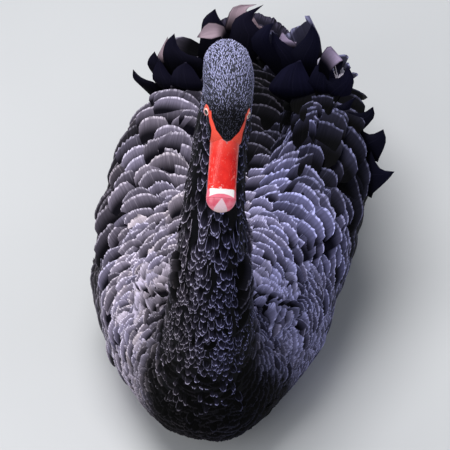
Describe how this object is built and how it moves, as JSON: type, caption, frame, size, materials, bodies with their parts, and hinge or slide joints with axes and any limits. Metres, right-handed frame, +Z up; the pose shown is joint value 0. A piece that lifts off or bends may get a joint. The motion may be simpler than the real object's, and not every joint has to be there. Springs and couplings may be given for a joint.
{
  "type": "black swan",
  "caption": "Life-size still model of a black swan resting on its belly, neck raised, red bill lowered, with curled feathers standing up along its folded wings.",
  "frame": {"origin": "on the floor, in the middle of the flat under the belly", "axes": "+Z up, +Y towards the tail, so the bird faces -Y and its left side is +X"},
  "size_m": [0.3181, 0.6427, 0.5167],
  "materials": {
    "body_plumage": "soft small feathers, near black with grey-brown edges",
    "neck_plumage": "short dense feathers in ropes, near black",
    "head_plumage": "very short dense feathers, dark slate grey",
    "wing_plumage": "broad feathers, charcoal with pale edges, flight feathers white",
    "tail_plumage": "stiff feathers, near black",
    "bill": "smooth horn, bright red with a white band near the tip",
    "bill_nail": "smooth horn, pale pink",
    "eye": "wet, dark pupil in a pale iris",
    "eyelid": "bare skin, orange red",
    "leg_skin": "scaled skin, near black"
  },
  "bodies": {
    "root": {"torso": "body_plumage", "neck_lower": "neck_plumage", "neck_upper": "neck_plumage", "head": "head_plumage", "wing_left": "wing_plumage", "wing_right": "wing_plumage", "tail": "tail_plumage", "bill_upper": "bill", "bill_lower": "bill", "bill_nail": "bill_nail", "eye_left": "eye", "eye_right": "eye", "eyelid_left": "eyelid", "eyelid_right": "eyelid", "leg_left": "leg_skin", "leg_right": "leg_skin", "foot_left": "leg_skin", "foot_right": "leg_skin"}
  },
  "joints": []
}
